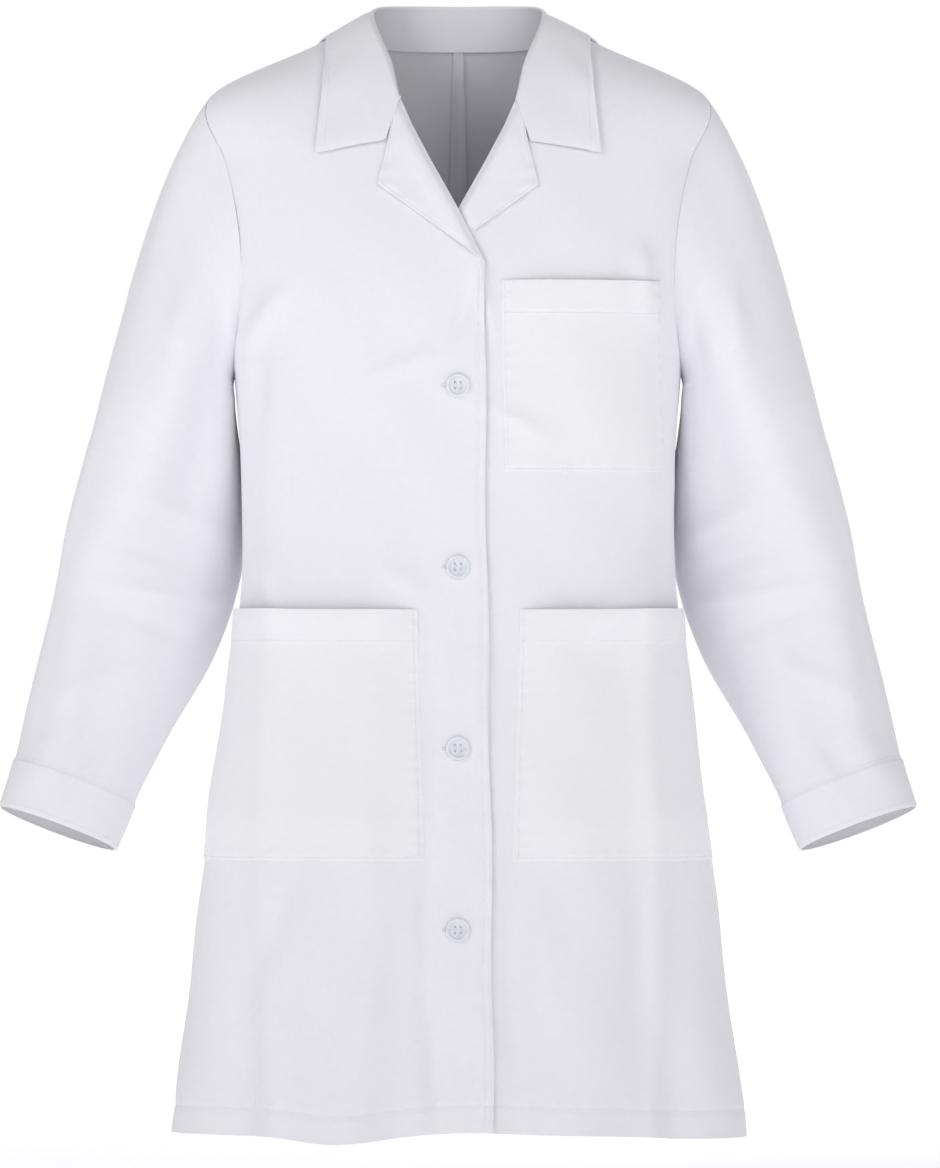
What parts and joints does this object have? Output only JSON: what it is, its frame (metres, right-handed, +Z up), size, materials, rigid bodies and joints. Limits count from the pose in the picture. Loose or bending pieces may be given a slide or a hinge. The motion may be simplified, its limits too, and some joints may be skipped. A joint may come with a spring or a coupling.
{
  "type": "lab coat",
  "caption": "Long-sleeved white lab coat with a notched collar and lapels, a buttoned front, and patch pockets at the chest and hips.",
  "frame": {"origin": "the middle of the neck opening, level with the top of the collar, where a hanger's hook rises through", "axes": "+Z up, +X to the wearer's left, -Y to the front"},
  "size_m": [0.769, 0.2552, 0.9467],
  "materials": {
    "coat_cloth": "white poly-cotton twill, soft matt",
    "pocket_cloth": "the same twill, one layer over another",
    "inside_cloth": "the twill's inner side, matt",
    "button_plastic": "moulded white polyester, satin",
    "sewing_thread": "spun polyester thread"
  },
  "bodies": {
    "coat": {"back_right": "coat_cloth", "back_left": "coat_cloth", "back_right_hem": "inside_cloth", "back_left_hem": "inside_cloth", "back_pleat": "inside_cloth", "right_front_upper": "coat_cloth", "left_front_upper": "coat_cloth", "right_front_side": "coat_cloth", "left_front_side": "coat_cloth", "right_side_hem": "inside_cloth", "left_side_hem": "inside_cloth", "right_lapel": "coat_cloth", "left_lapel": "coat_cloth", "collar_fall": "coat_cloth", "collar_stand": "inside_cloth"},
    "right_front_panel": {"right_front": "coat_cloth", "right_front_facing": "inside_cloth", "right_front_hem": "inside_cloth", "right_hip_pocket": "pocket_cloth", "buttonhole_1": "coat_cloth", "buttonhole_2": "coat_cloth", "buttonhole_3": "coat_cloth", "buttonhole_4": "coat_cloth"},
    "left_front_panel": {"left_front": "coat_cloth", "left_front_facing": "inside_cloth", "left_front_hem": "inside_cloth", "left_hip_pocket": "pocket_cloth", "chest_pocket": "pocket_cloth", "button_1": "button_plastic", "button_2": "button_plastic", "button_3": "button_plastic", "button_4": "button_plastic", "button_thread_1": "sewing_thread", "button_thread_2": "sewing_thread", "button_thread_3": "sewing_thread", "button_thread_4": "sewing_thread"},
    "right_upper_arm": {"right_upper_sleeve": "coat_cloth"},
    "right_forearm": {"right_lower_sleeve": "coat_cloth", "right_cuff": "coat_cloth"},
    "left_upper_arm": {"left_upper_sleeve": "coat_cloth"},
    "left_forearm": {"left_lower_sleeve": "coat_cloth", "left_cuff": "coat_cloth"}
  },
  "joints": [
    {"name": "right_front_open", "type": "hinge", "parent": "coat", "child": "right_front_panel", "pos_m": [-0.176, -0.0805, -0.222], "axis": [-0.0453, -0.0096, -0.9989], "range_deg": [0, 75], "deforming": ["buttonhole_1", "buttonhole_2", "buttonhole_3", "buttonhole_4"]},
    {"name": "left_front_open", "type": "hinge", "parent": "coat", "child": "left_front_panel", "pos_m": [0.176, -0.0805, -0.222], "axis": [-0.0453, 0.0096, 0.9989], "range_deg": [0, 45]},
    {"name": "right_sleeve_lift", "type": "hinge", "parent": "coat", "child": "right_upper_arm", "pos_m": [-0.208, 0, -0.082], "axis": [0, 1, 0], "range_deg": [0, 70]},
    {"name": "left_sleeve_lift", "type": "hinge", "parent": "coat", "child": "left_upper_arm", "pos_m": [0.208, 0, -0.082], "axis": [0, -1, 0], "range_deg": [0, 70]},
    {"name": "right_elbow_bend", "type": "hinge", "parent": "right_upper_arm", "child": "right_forearm", "pos_m": [-0.2868, -0.0254, -0.4678], "axis": [-0.978, 0, 0.2086], "range_deg": [0, 80]},
    {"name": "left_elbow_bend", "type": "hinge", "parent": "left_upper_arm", "child": "left_forearm", "pos_m": [0.2868, -0.0254, -0.4678], "axis": [-0.978, 0, -0.2086], "range_deg": [0, 80]}
  ],
  "couplings": [
    {"joint": "left_front_open", "follows": "right_front_open", "ratio": 0.6}
  ]
}
